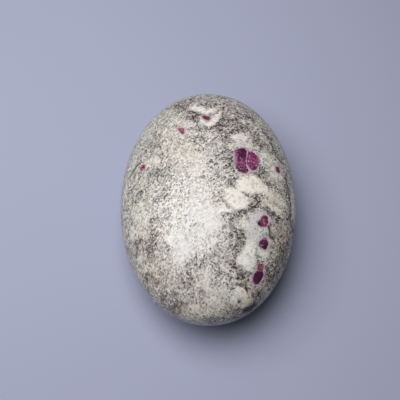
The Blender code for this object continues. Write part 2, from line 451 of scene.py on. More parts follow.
def pebbleTree(look, swells, material):
    tree = bpy.data.node_groups.new("pebbleForm", "GeometryNodeTree")
    sockets = {}
    for name, value in look.items():
        kind = "NodeSocketInt" if isinstance(value, int) else "NodeSocketFloat"
        sockets[name] = tree.interface.new_socket(name, in_out="INPUT", socket_type=kind)
    tree.interface.new_socket("Mesh", in_out="OUTPUT", socket_type="NodeSocketGeometry")
    given = addNode(tree, "NodeGroupInput")
    grid = addNode(tree, "GeometryNodeMeshCube", {
        "Size": (2, 2, 2),
        "Vertices X": given["Points Across"],
        "Vertices Y": given["Points Along"],
        "Vertices Z": given["Points Up"],
    })

    # the cube's even grid, rounded to a ball and stretched to the pebble's three sizes
    here = addNode(tree, "GeometryNodeInputPosition")[0]
    evened = vectorCalc(tree, "TANGENT", vectorCalc(tree, "SCALE", here, scale=math.pi / 4))
    ball = vectorCalc(tree, "NORMALIZE", evened)
    halfSizes = joined(
        tree, [calc(tree, "DIVIDE", given[name], 2.0) for name in ("Width", "Length", "Height")]
    )
    direction = vectorCalc(tree, "NORMALIZE", vectorCalc(tree, "MULTIPLY", ball, halfSizes))
    shares = vectorCalc(tree, "ABSOLUTE", vectorCalc(tree, "DIVIDE", direction, halfSizes))
    across, along, rise = split(tree, shares)
    planPower, sectionPower = given["Plan Fullness"], given["Section Fullness"]
    plan = calc(
        tree, "ADD", calc(tree, "POWER", across, planPower), calc(tree, "POWER", along, planPower)
    )
    plan = calc(tree, "POWER", plan, calc(tree, "DIVIDE", sectionPower, planPower))
    whole = calc(tree, "ADD", plan, calc(tree, "POWER", rise, sectionPower))
    distance = calc(tree, "POWER", whole, calc(tree, "DIVIDE", -1.0, sectionPower))
    for towards, height, tightness in swells:
        facing = vectorCalc(tree, "DOT_PRODUCT", direction, Vector(towards).normalized())
        lift = calc(tree, "POWER", calc(tree, "MAXIMUM", facing, 0.0), float(tightness))
        distance = calc(tree, "MULTIPLY_ADD", lift, height, distance)
    x, y, z = split(tree, vectorCalc(tree, "SCALE", direction, scale=distance))
    middle = calc(tree, "SUBTRACT", calc(tree, "DIVIDE", given["Height"], 2.0), given["Flat Depth"])
    ground = calc(tree, "SMOOTH_MAX", calc(tree, "ADD", z, middle), 0.0, given["Flat Edge"])
    place = {"Geometry": grid["Mesh"], "Position": joined(tree, (x, y, ground))}
    shape = addNode(tree, "GeometryNodeSetPosition", place)[0]

    # the faint ripple of a hand-held polish, which fades out at the flat spot
    onForm = addNode(tree, "GeometryNodeInputPosition")[0]
    wave = evenNoise(tree, onForm, calc(tree, "DIVIDE", 1.0, given["Ripple Size"]), 1.0)
    clear = step(tree, split(tree, onForm)[2], given["Ripple From"], given["Ripple Full"])
    wave = calc(tree, "MULTIPLY", calc(tree, "MULTIPLY", wave, given["Ripple Height"]), clear)
    offset = vectorCalc(tree, "SCALE", addNode(tree, "GeometryNodeInputNormal")[0], scale=wave)
    for kind, inputs in (
        ("GeometryNodeSetPosition", {"Offset": offset}),
        ("GeometryNodeSetShadeSmooth", {}),
        ("GeometryNodeRealizeInstances", {}),
        ("GeometryNodeSetMaterial", {"Material": material}),
    ):
        shape = addNode(tree, kind, {"Geometry": shape} | inputs)[0]
    addNode(tree, "NodeGroupOutput", {"Mesh": shape})
    return tree, {name: socket.identifier for name, socket in sockets.items()}


def growPebble(look, swells, material):
    tree, identifiers = pebbleTree(look, swells, material)
    seed = addObject("pebbleSeed", bpy.data.meshes.new("pebbleSeed"))
    modifier = seed.modifiers.new("pebbleForm", "NODES")
    modifier.node_group = tree
    for name, value in look.items():
        modifier[identifiers[name]] = value
    graph = bpy.context.evaluated_depsgraph_get()
    mesh = bpy.data.meshes.new_from_object(seed.evaluated_get(graph))
    bpy.data.objects.remove(seed)
    return mesh


albite = makeAlbite(albiteLook)
ruby = makeRuby(rubyLook)
stoneMesh = growPebble(pebbleLook, grindingSwells, albite)
print("stone formed,", len(stoneMesh.polygons), "faces")


def valuesOf(mesh, name):  # "co" for the points' places, "normal" for their normals
    flat = np.empty(len(mesh.vertices) * 3)
    mesh.vertices.foreach_get(name, flat)
    return flat.reshape(-1, 3)


def fitToFrame(mesh, low, high):  # the rounded grid misses the CAD box by a hair: this closes it
    points = valuesOf(mesh, "co")
    least, most = points.min(0), points.max(0)
    points = (points - least) / (most - least) * (np.array(high) - np.array(low)) + np.array(low)
    mesh.vertices.foreach_set("co", points.ravel())
    mesh.update()


fitToFrame(stoneMesh, cadLow, cadHigh)


# where each crystal lies: "place" is X and Y, "outline" runs across and along the surface from there,
# "lightness" is 0 for purple-black and 1 for clear red; "shades" are, for each value that they change,
# ovals in the same measure: middle, half sizes and change

rubyCrystals = {
    "largeLeft": {
        "place": (8.8, 8.0),
        "lightness": 0.42,
        "outline": ((-2.1, 3.3), (-2.2, 0.0), (-1.9, -2.4), (-1.2, -3.4), (0.0, -3.8), (1.2, -3.7),
                    (1.8, -2.8), (1.1, -1.5), (1.0, 0.6), (1.35, 2.4), (1.4, 3.6), (0.8, 4.3), (-0.4, 4.2)),
        "shades": {
            "lightness": ((0.4, 2.6, 1.1, 1.9, -0.45), (0.1, -0.4, 0.9, 1.5, 0.5),
                          (-1.3, 2.6, 0.7, 0.9, 0.25)),
            "mauve": ((-2.1, 0.6, 0.75, 3.2, 1.1), (-0.6, 4.5, 1.4, 0.7, 0.4)),
            "brown": ((0.0, -3.2, 2.0, 1.3, 1.0), (-1.5, -2.0, 0.9, 1.2, 0.5)),
        },
    },
    "largeRight": {
        "place": (11.8, 8.5),
        "lightness": 0.72,
        "outline": ((-1.95, -0.6), (-1.8, -1.8), (-1.0, -2.7), (-0.1, -3.2), (0.9, -2.7), (1.6, -1.5),
                    (2.1, 0.1), (1.8, 1.4), (0.8, 2.4), (-0.3, 3.0), (-1.3, 2.9), (-1.5, 2.0), (-1.9, 0.9)),
        "shades": {
            "mauve": ((1.8, 0.5, 0.9, 2.4, 0.9), (0.8, 2.7, 1.5, 0.8, 0.7)),
            "brown": ((0.9, -0.4, 1.2, 2.2, 0.35),),
            "lightness": ((-0.8, 0.4, 0.9, 1.6, 0.2), (0.9, -2.2, 1.0, 0.9, -0.25)),
        },
    },
    "rightUpper": {
        "place": (14.3, -8.9),
        "lightness": 0.55,
        "crimson": 0.35,
        "outline": ((-1.8, -0.6), (-1.6, -1.3), (-0.6, -1.8), (0.9, -1.5), (1.5, -0.4), (1.5, 1.2),
                    (0.6, 1.7), (-0.3, 1.4), (-0.8, 0.4)),
        "shades": {
            "lightness": ((0.4, 0.1, 0.5, 0.7, 0.55), (1.0, 0.9, 0.7, 0.8, -0.3),
                          (-1.2, -0.9, 0.8, 0.7, -0.5)),
            "mauve": ((0.1, 0.1, 0.35, 1.3, 0.75),),
            "brown": ((-1.1, -0.8, 0.8, 0.7, 0.45),),
        },
    },
    "rightMiddle": {
        "place": (14.4, -14.8),
        "lightness": 0.22,
        "crimson": 0.2,
        "outline": ((-1.6, -0.6), (-1.0, -1.2), (-0.2, -1.6), (0.7, -1.7), (1.2, -0.9), (1.5, -0.1),
                    (1.1, 0.9), (0.7, 1.6), (-0.3, 1.5), (-0.7, 0.8), (-1.4, 0.4)),
        "shades": {
            "mauve": ((-0.6, -0.6, 0.4, 0.4, 1.1), (0.1, 1.4, 1.3, 0.6, 0.8), (-1.4, -0.1, 0.4, 0.8, 0.5)),
            "brown": ((0.2, -0.4, 1.0, 0.8, 0.35),),
            "lightness": ((0.3, -1.0, 0.7, 0.6, -0.2),),
        },
    },
    "rightLowerPink": {
        "place": (13.5, -21.2),
        "lightness": 0.95,
        "crimson": 0.6,
        "outline": ((-1.0, -0.3), (-0.6, -0.85), (0.8, -0.9), (1.2, -0.1), (0.7, 1.1), (-0.6, 1.2)),
        "shades": {"mauve": ((0.2, 0.3, 1.2, 0.9, 0.6),), "brown": ((-0.3, -0.5, 1.1, 0.7, 0.9),)},
    },
    "rightLower": {
        "place": (12.8, -23.4),
        "lightness": 0.1,
        "outline": ((-1.4, -0.3), (-1.5, -1.3), (-0.8, -2.1), (0.3, -2.1), (1.3, -0.9), (1.9, 0.4),
                    (1.7, 1.4), (0.6, 1.6), (-0.4, 1.5), (-1.1, 0.8)),
        "shades": {"brown": ((-0.8, -1.4, 0.9, 0.8, 0.6),)},
    },
    "farEnd": {
        "place": (-1.0, 21.9),
        "lightness": 0.45,
        "crimson": 0.9,
        "outline": ((-1.4, 0.6), (-0.9, -0.4), (-0.2, -1.0), (0.7, -1.0), (1.15, -0.3), (0.9, 0.5),
                    (0.1, 0.8), (-0.8, 1.0)),
        "shades": {"brown": ((-0.4, 0.1, 1.2, 0.9, 1.0),), "mauve": ((1.0, -0.1, 0.5, 0.8, 0.5),)},
    },
    "farLeft": {
        "place": (-8.0, 17.4),
        "lightness": 0.95,
        "crimson": 0.6,
        "outline": ((-1.5, 1.1), (-0.5, -0.3), (0.3, -1.5), (0.8, -1.2), (0.85, 0.8), (-0.2, 1.2)),
        "shades": {"mauve": ((-1.0, 0.9, 0.8, 0.6, 0.8), (0.3, -0.2, 1.2, 1.4, 0.45))},
    },
    "leftEdge": {
        "place": (-18.5, 6.8),
        "lightness": 0.85,
        "crimson": 0.85,
        "outline": ((-1.0, 0.1), (-0.7, -0.7), (0.0, -1.0), (0.7, -0.7), (0.95, 0.0), (0.7, 0.75),
                    (0.0, 1.05), (-0.7, 0.75)),
        "shades": {"mauve": ((-0.5, 0.5, 0.6, 0.6, 0.3),), "brown": ((0.3, -0.3, 0.9, 0.8, 0.35),)},
    },
    "rightEdge": {
        "place": (19.0, 7.1),
        "lightness": 0.75,
        "crimson": 0.5,
        "outline": ((-0.9, 0.9), (-0.7, -0.7), (0.2, -1.1), (0.9, -0.2), (0.5, 1.1)),
        "shades": {"mauve": ((0.5, 0.8, 0.6, 0.7, 0.6),), "brown": ((-0.2, -0.4, 0.8, 0.8, 0.7),)},
    },
    "redSpeck": {
        "place": (16.4, -9.5),
        "lightness": 0.7,
        "crimson": 1.0,
        "outline": ((-0.35, 0.3), (-0.3, -0.4), (0.35, -0.2), (0.3, 0.3)),
    },
    "underLarge": {
        "place": (-9.5, 12.0),
        "under": True,
        "lightness": 0.5,
        "outline": ((-2.2, 0.4), (-1.4, -1.9), (0.9, -2.2), (2.3, -0.3), (1.5, 1.9), (-0.7, 2.3)),
    },
    "underMiddle": {
        "place": (7.0, -15.5),
        "under": True,
        "lightness": 0.3,
        "outline": ((-1.3, 0.5), (-0.9, -1.1), (0.8, -1.4), (1.5, 0.1), (0.5, 1.3)),
    },
    "underSmall": {
        "place": (14.5, 9.5),
        "under": True,
        "lightness": 0.6,
        "crimson": 0.6,
        "outline": ((-0.9, 0.1), (-0.3, -0.9), (0.8, -0.6), (0.9, 0.6), (-0.2, 1.0)),
    },
    "underEnd": {
        "place": (-3.5, -24.0),
        "under": True,
        "lightness": 0.4,
        "outline": ((-1.0, -0.4), (0.1, -1.1), (1.1, -0.2), (0.6, 0.9), (-0.6, 0.8)),
    },
}

rubyShape = {
    "spacing": 0.16,  # between points of the outline
    "ringSpacing": 0.22,
    "raggedness": 0.24,
    "raggedScale": 1.9,
    "proud": 0.02,  # ruby is harder than the rock, so the polish leaves it this high
    "grooveDepth": 0.05,
    "grooveWidth": 0.10,
    "rimWidth": 0.22,
    "shadeFall": 0.9,  # how fast a shade fades from its middle
    "wall": 0.6,  # how deep a crystal's sides go into the rock
    "sharp": 50,  # degrees, past which an edge isn't smoothed
}


def surfaceTree(mesh):
    mesh.calc_loop_triangles()
    triangles = [tuple(face.vertices) for face in mesh.loop_triangles]
    return BVHTree.FromPolygons([point.co for point in mesh.vertices], triangles)


def crystalFrame(surface, crystal):
    side = -1 if crystal.get("under") else 1
    x, y = (value * mm for value in crystal["place"])
    start = Vector((x, y, (13 + side * 40) * mm))  # well above or below the stone
    centre, normal, _, _ = surface.ray_cast(start, Vector((0, 0, -side)))
    across = (Vector((1, 0, 0)) - normal * normal.x).normalized()
    return centre, normal, across, normal.cross(across) * side


def closedRing(corners, spacing):
    ring = []
    for start, end in zip(corners, corners[1:] + corners[:1]):
        a, b = Vector(start), Vector(end)
        count = max(2, round((b - a).length / spacing))
        ring += [a.lerp(b, index / count) for index in range(count)]
    for _ in range(2):  # eases the corners a little
        ring = [
            point * 0.5 + (before + after) * 0.25
            for before, point, after in zip(ring[-1:] + ring[:-1], ring, ring[1:] + ring[:1])
        ]
    return ring


def shadeCrystal(vertex, layers, crystal, flat, fall):
    vertex[layers["lightness"]] = crystal["lightness"]
    vertex[layers["crimson"]] = crystal.get("crimson", 0.0)
    for name, ovals in crystal.get("shades", {}).items():
        for u, v, halfU, halfV, change in ovals:
            away = ((flat.x - u) / halfU) ** 2 + ((flat.y - v) / halfV) ** 2
            vertex[layers[name]] += change * math.exp(-away * fall)


def growCrystal(form, layers, surface, crystal, look):
    centre, normal, across, along = crystalFrame(surface, crystal)
    seed = Vector((*crystal["place"], 3.7))
    ragged = []
    for point in closedRing(crystal["outline"], look["spacing"]):
        wander = noise.noise(seed + Vector((point.x, point.y, 0)) * look["raggedScale"])
        ragged.append(point * (1 + wander * look["raggedness"] / point.length))
    reach = min(point.length for point in ragged)
    steps = max(4, round(max(point.length for point in ragged) / look["ringSpacing"]))

    def seated(flat, lift):
        start = centre + (across * flat.x + along * flat.y) * mm
        hit, facing, _, _ = surface.ray_cast(start + normal * 5 * mm, -normal)
        vertex = form.verts.new(hit + facing * lift * mm)
        shadeCrystal(vertex, layers, crystal, flat, look["shadeFall"])
        return vertex

    rings = []
    for index in range(steps):
        share = 1 - index / steps
        near = math.exp(-(1 - share) * reach / look["grooveWidth"])  # 1 at the edge, falling inwards
        lift = look["proud"] - (look["proud"] + look["grooveDepth"]) * near
        row = [seated(point * share, lift) for point in ragged]
        for vertex, point in zip(row, ragged):
            vertex[layers["rim"]] = math.exp(-((1 - share) * point.length / look["rimWidth"]) ** 2)
        rings.append(row)
    top = seated(Vector((0, 0)), look["proud"])
    wall = []
    for vertex in rings[0]:
        low = form.verts.new(vertex.co - normal * look["wall"] * mm)
        low[layers["lightness"]] = crystal["lightness"]
        wall.append(low)
    count = len(ragged)
    for outer, inner in zip([wall] + rings[:-1], rings):
        for index in range(count):
            following = (index + 1) % count
            form.faces.new((outer[index], outer[following], inner[following], inner[index]))
    for index in range(count):
        form.faces.new((rings[-1][index], rings[-1][(index + 1) % count], top))
    form.faces.new(wall)


def growRubies(surface, crystals, look, material):
    form = bmesh.new()
    layers = {name: form.verts.layers.float.new(name) for name in rubyShades}
    for crystal in crystals.values():
        growCrystal(form, layers, surface, crystal, look)
    bmesh.ops.recalc_face_normals(form, faces=form.faces[:])
    mesh = bpy.data.meshes.new("rubies")
    form.to_mesh(mesh)
    form.free()
    mesh.materials.append(material)
    mesh.shade_smooth()
    mesh.set_sharp_from_angle(angle=math.radians(look["sharp"]))
    return addObject("rubies", mesh)


stoneSurface = surfaceTree(stoneMesh)
rubies = growRubies(stoneSurface, rubyCrystals, rubyShape, ruby)
print("rubies grown,", len(rubies.data.polygons), "faces")


# pale patches with a clear edge, in millimetres on the top; "edge" is the width of the fade

creamOutlines = {
    "creamUpper": {
        "edge": 1.6,
        "outline": ((6.8, 0.7), (7.9, 2.2), (9.6, 3.4), (10.9, 3.7), (12.4, 3.4), (13.9, 2.4), (15.2, 1.0),
                    (15.2, -0.1), (14.4, -0.4), (13.2, -0.9), (11.8, -1.3), (10.4, -1.3), (9.1, -1.2),
                    (7.2, -0.6)),
    },
    "creamTail": {
        "edge": 2.2,
        "strength": 0.42,
        "outline": ((14.6, 0.4), (17.4, -0.6), (20.1, -1.9), (21.0, -3.2), (18.8, -3.2), (15.8, -1.6)),
    },
    "creamLower": {
        "edge": 1.5,
        "outline": ((4.0, -1.4), (4.9, -0.6), (6.4, -0.4), (8.3, -1.7), (9.9, -3.2), (10.3, -4.5),
                    (9.4, -5.7), (8.1, -6.4), (6.5, -5.9), (5.0, -4.7), (4.0, -3.1)),
    },
    "frostFoot": {
        "edge": 2.1,
        "outline": ((10.5, -14.9), (11.5, -14.9), (11.7, -16.2), (11.9, -18.8), (11.6, -20.8),
                    (10.3, -21.7), (8.5, -21.4), (7.1, -20.6), (7.4, -19.3), (8.7, -18.1), (9.6, -15.8)),
    },
    "frostByRuby": {
        "edge": 1.7,
        "strength": 0.65,
        "outline": ((12.7, -17.5), (14.5, -16.7), (16.0, -16.9), (15.5, -18.3), (13.8, -18.7)),
    },
    "nearEye": {
        "edge": 1.9,
        "strength": 1.0,
        "outline": ((6.3, -27.8), (7.2, -26.8), (8.8, -26.4), (10.2, -27.0), (11.2, -28.4), (10.7, -29.9),
                    (9.4, -30.8), (8.6, -30.6), (9.3, -29.8), (9.0, -28.9), (8.0, -28.5), (7.2, -28.8),
                    (6.9, -29.8), (6.2, -29.4)),
    },
    "lensUpper": {
        "edge": 2.0,
        "strength": 0.85,
        "outline": ((-5.8, 26.1), (-4.6, 26.9), (-2.4, 25.9), (-0.9, 25.0), (0.6, 25.3), (2.0, 25.8),
                    (1.3, 24.1), (-0.9, 23.4), (-3.1, 23.9), (-5.1, 24.9)),
    },
    "lensLower": {
        "edge": 1.7,
        "outline": ((-2.4, 21.0), (-1.6, 20.1), (-0.3, 20.3), (0.7, 21.2), (1.3, 22.7), (2.9, 24.2),
                    (2.6, 21.8), (1.4, 19.9), (-0.2, 19.0), (-1.6, 19.2), (-2.6, 20.1)),
    },
    "aboveLargeRuby": {
        "edge": 2.2,
        "strength": 0.6,
        "outline": ((5.9, 15.6), (7.4, 17.1), (9.5, 16.9), (10.9, 15.9), (10.5, 14.5), (11.5, 13.8),
                    (10.1, 13.0), (8.3, 13.6), (6.9, 12.6), (5.7, 12.3), (6.6, 14.0)),
    },
    # painted highlight: a pale band along the right rim, where the polished edge catches the light
    "rightRimHighlight": {
        "edge": 1.2,
        "strength": 0.6,
        "outline": ((22.8, 3.2), (22.9, -0.3), (23.0, -3.5), (22.8, -6.0), (23.6, -6.2), (23.9, -3.2),
                    (23.9, -0.2), (23.6, 3.0)),
    },
    "rightArc": {
        "edge": 2.4,
        "strength": 0.55,
        "outline": ((13.5, 12.6), (14.5, 12.7), (16.3, 11.0), (17.7, 9.1), (18.2, 6.6), (17.0, 7.3),
                    (15.8, 9.5), (14.3, 11.3)),
    },
    "rightSpot": {
        "edge": 2.2,
        "strength": 0.6,
        "outline": ((17.3, 5.4), (18.8, 6.0), (20.6, 5.9), (20.7, 4.6), (19.0, 3.7), (17.7, 4.1)),
    },
    "rightStreak": {
        "edge": 1.5,
        "strength": 0.75,
        "outline": ((13.8, -2.8), (15.0, -3.1), (17.3, -4.3), (19.7, -5.2), (19.3, -6.0), (17.0, -5.4),
                    (14.7, -4.1)),
    },
    "centreSpot": {
        "edge": 1.7,
        "strength": 0.75,
        "outline": ((1.8, -6.3), (3.7, -5.9), (5.6, -6.5), (5.8, -7.5), (4.0, -7.4), (2.2, -7.2)),
    },
    "leftSpot": {
        "edge": 2.2,
        "strength": 0.75,
        "outline": ((-11.4, -14.0), (-10.3, -13.3), (-9.2, -14.2), (-9.2, -15.4), (-10.5, -15.8),
                    (-11.4, -14.9)),
    },
}

frostAndHighlightOutlines = {
    "aroundRuby": {
        "edge": 1.6,
        "outline": ((10.0, -11.2), (10.5, -8.7), (11.8, -6.9), (13.8, -6.1), (16.0, -6.4), (16.4, -7.9),
                    (15.8, -11.2), (14.5, -12.8), (12.7, -13.5), (12.1, -16.2), (11.0, -16.6),
                    (10.0, -15.1), (9.7, -13.2)),
    },
    "belowRuby": {
        "edge": 1.4,
        "strength": 0.8,
        "outline": ((12.2, -12.4), (14.5, -12.6), (16.4, -13.0), (16.6, -15.8), (15.6, -17.4),
                    (12.6, -17.6), (12.0, -15.4)),
    },
    # painted highlight: a frosty veil over the centre, where the soft box's reflection washes out the specks
    "middle": {
        "edge": 3.5,
        "strength": 0.7,
        "outline": ((-9.5, -9.0), (-6.5, -4.5), (-1.5, -3.5), (2.5, -6.0), (3.0, -11.0), (0.5, -14.5),
                    (-3.5, -17.0), (-8.0, -20.5), (-9.5, -17.0), (-9.8, -12.5)),
    },
}

# soft marks on the top, from the far end to the near one: X and Y of the middle, half sizes, strength,
# and the degrees that a slanting one is turned

# where the dark grains crowd
darkPatches = {
    "farRim": (-6.0, 29.6, 2.6, 0.8, 0.7, 10),
    "farEnd": (1.5, 27.5, 13.0, 6.5, 0.25),
    "farLeftEdge": (-8.8, 27.4, 1.9, 1.6, 1.0, -20),
    "leftOfLens": (-5.0, 23.9, 1.9, 1.1, 1.0, 15),
    "farRightRim": (11.2, 23.5, 1.8, 0.9, 0.45, -30),
    "farEndRight": (8.5, 23.0, 7.0, 6.0, 0.2),
    "leftOfLensLow": (-4.3, 22.0, 1.1, 1.3, 0.95),
    "farRight": (6.5, 21.0, 4.5, 3.4, 0.4),
    "rightOfLensHigh": (3.9, 20.9, 1.8, 1.4, 0.65),
    "belowLensRight": (2.1, 20.3, 1.2, 1.4, 0.8),
    "farRightSpot": (9.1, 19.6, 1.1, 0.6, 1.0),
    "rightOfLens": (2.4, 19.4, 1.5, 1.3, 1.0, -20),
    "belowLensLeft": (-3.8, 19.4, 1.4, 1.2, 0.5),
    "rightRimFar": (15.8, 18.6, 0.9, 1.8, 0.65, 30),
    "belowLens": (-0.6, 17.6, 4.6, 1.0, 0.5, -5),
    "farRightLow": (7.2, 17.5, 1.0, 0.9, 0.7),
    "farRightBand": (13.6, 15.6, 1.0, 3.2, 0.6, 35),
    "bandAboveRuby": (5.2, 15.4, 1.2, 1.4, 0.7),
    "aboveRubyDark": (9.2, 15.2, 1.2, 1.0, 0.8),
    "darkAboveRuby": (9.5, 14.9, 1.4, 0.8, 0.8),
    "farCentreGrey": (-3.6, 14.6, 2.2, 1.4, 0.35, 10),
    "rightStreakHigh": (18.1, 14.3, 0.8, 2.4, 0.75, 20),
    "aboveBand": (3.4, 14.0, 2.0, 4.6, 0.45, 10),
    "bandRight": (13.2, 13.9, 1.6, 1.2, 0.7, -30),
    "leftStreak": (-14.9, 13.4, 1.6, 0.9, 0.8, 15),
    "leftFarSpot": (-8.2, 13.4, 0.7, 0.6, 0.9),
    "leftRimHigh": (-18.4, 12.0, 0.8, 1.6, 0.5),
    "rightEdgeFar": (20.4, 10.5, 0.8, 1.5, 0.7, 20),
    "leftUpperDark": (-12.4, 9.4, 1.6, 1.0, 0.6, 15),
    "leftOfLargeRuby": (4.9, 8.3, 1.5, 2.8, 0.8),
    "leftClumpHigh": (-11.2, 6.2, 0.9, 1.7, 0.7),
    "upperRightSpots": (14.4, 5.0, 1.2, 2.4, 0.8, 15),
    "leftClump": (-13.9, 4.4, 3.0, 2.2, 0.65, -15),
    "leftClumpSide": (-18.6, 4.3, 1.4, 0.6, 0.5, 10),
    "creamRightEnd": (13.6, 3.9, 1.4, 0.7, 0.6, -20),
    "rightEdge": (21.6, 2.0, 0.9, 7.0, 0.55, 3),
    "darkCreamEdge": (17.6, 1.2, 2.8, 0.8, 0.7, -18),
    "leftOfRubyFoot": (6.2, 1.2, 1.5, 1.6, 0.85, 20),
    "leftRim": (-21.6, 0.6, 1.1, 0.7, 0.7, 10),
    "leftSpot": (-18.8, -1.0, 0.8, 1.1, 1.0),
    "leftMiddleHigh": (-12.3, -1.2, 1.0, 0.8, 0.7),
    "creamSeam": (9.2, -1.5, 2.2, 0.5, 0.75, -28),
    "rightSpotHigh": (17.7, -2.0, 0.8, 0.8, 0.5),
    "darkLeftStreak": (-12.4, -2.9, 2.2, 1.0, 0.9, 22),
    "bandUpper": (12.4, -3.4, 2.4, 1.3, 0.8, 25),
    "leftOfCream": (2.7, -3.6, 1.7, 1.2, 0.4),
    "leftSlant": (-20.8, -3.8, 1.8, 0.8, 0.55, 30),
    "leftMiddleSpot": (-14.4, -4.0, 0.7, 0.8, 0.6),
    "belowStreak": (15.2, -5.2, 1.6, 0.6, 0.7, -20),
    "bandMiddle": (10.9, -5.2, 1.9, 0.8, 1.0, 38),
    "rightOfUpperRuby": (16.2, -6.6, 1.3, 0.9, 0.8, -20),
    "bandLower": (8.9, -6.8, 1.9, 0.9, 0.8, 30),
    "greySlant": (-11.6, -7.0, 1.2, 2.4, 0.45, 10),
    "rightSpotLow": (18.6, -7.8, 0.9, 1.1, 1.0),
    "leftRimLow": (-21.4, -8.0, 0.9, 1.4, 0.4),
    "greyBySeam": (3.4, -8.3, 1.0, 0.8, 0.6),
    "rightRimMiddle": (23.4, -8.4, 0.8, 2.2, 0.9),
    "bandEnd": (6.8, -8.8, 1.6, 1.0, 0.8),
    "centreWash": (-6.0, -9.0, 5.0, 4.0, 0.12),
    "leftLowSlant": (-14.9, -9.4, 2.1, 0.8, 0.6, 20),
    "rightEdgeMiddle": (21.8, -9.5, 1.4, 4.0, 0.5, 5),
    "leftLowSlantSide": (-16.9, -11.1, 1.8, 0.6, 0.7, 20),
    "frostLeftWide": (6.6, -12.0, 2.5, 5.0, 0.3),
    "brownClumpEdge": (-21.4, -13.0, 0.9, 2.0, 0.3),
    "besideCrack": (16.6, -13.2, 1.2, 1.4, 0.55),
    "frostLeftHigh": (8.1, -13.5, 1.7, 1.3, 0.85),
    "brownClumpLeft": (-19.0, -14.2, 1.5, 1.2, 0.85),
    "brownClumpRight": (-14.2, -14.6, 0.9, 1.6, 0.8),
    "leftOfMiddleRuby": (8.5, -14.8, 1.1, 1.4, 0.9),
    "frostLeftSide": (9.0, -14.8, 0.8, 1.0, 0.6),
    "brownClump": (-15.8, -15.2, 2.0, 3.6, 0.75, 5),
    "rightEdgeLow": (20.0, -16.5, 1.8, 4.5, 0.75, 12),
    "greySlantFoot": (-11.4, -16.6, 1.2, 1.4, 0.5),
    "frostLeftMiddle": (6.7, -16.9, 1.0, 1.6, 0.75),
    "brownClumpLow": (-19.6, -17.0, 1.0, 1.0, 0.6),
    "rightLowWash": (19.0, -18.0, 4.0, 8.0, 0.25, 20),
    "centreNearDark": (0.2, -18.4, 1.4, 0.9, 0.5),
    "brownClumpFoot": (-16.1, -19.6, 1.2, 0.8, 0.7),
    "centreNearSpot": (-4.5, -20.1, 1.2, 0.8, 0.6, 10),
    "leftOfFrostFoot": (6.0, -20.3, 1.2, 1.2, 0.9),
    "nearLeftEdgeLow": (-18.2, -20.6, 1.2, 0.9, 0.7),
    "frostLeftLow": (6.5, -21.3, 1.6, 0.9, 0.95, 15),
    # partly painted shade: the lower right rim, turned from the lights, is darker as well as crowded with
    # dark grains
    "nearRightEdge": (17.3, -22.2, 2.2, 4.0, 0.8, 25),
    "nearLeftSpot": (-16.3, -22.7, 1.5, 1.3, 0.8),
    "leftOfLowRuby": (11.2, -22.8, 0.8, 1.0, 0.7),
    "aboveEyeLeft": (7.8, -22.9, 1.2, 0.8, 0.6),
    "centreNearGrey": (-4.0, -23.2, 2.8, 4.2, 0.3),
    "nearFrost": (8.9, -23.4, 1.9, 0.7, 0.8, 20),
    "nearFrostLow": (8.6, -25.0, 1.4, 0.8, 0.7),
    "nearLeftTrail": (-13.6, -25.6, 0.8, 1.8, 0.65, 10),
    "darkNearMiddle": (-4.6, -26.2, 1.2, 0.9, 0.6),
    "eyeTop": (8.0, -26.2, 0.5, 0.5, 0.9),
    "aboveEye": (9.9, -26.5, 0.7, 0.8, 0.8),
    "nearRightSpot": (13.3, -27.2, 1.0, 1.0, 1.0, 10),
    "darkNearRight": (6.3, -27.6, 1.0, 0.9, 0.7),
    "centreStreak": (-2.1, -27.9, 1.0, 0.6, 0.8, -35),
    "nearRightLow": (11.6, -28.3, 0.9, 0.9, 0.7),
    "centreDot": (-1.4, -28.7, 0.4, 0.5, 0.9),
    "nearLeftLow": (-11.9, -28.8, 0.9, 1.5, 0.8, 10),
    "eyePit": (7.9, -29.3, 0.7, 0.5, 1.0),
    "centreLow": (-2.6, -30.1, 2.0, 0.6, 0.5),
    "nearMaroon": (10.8, -30.9, 3.2, 1.3, 1.0, 32),
    "eyeLeft": (6.2, -31.0, 0.8, 0.8, 0.6),
    "nearSpot": (-8.2, -31.0, 1.9, 1.4, 1.0),
    "nearRim": (7.6, -32.2, 1.6, 0.8, 0.8, 15),
    "nearRimDark": (4.6, -33.2, 3.2, 0.8, 0.6, 8),
}

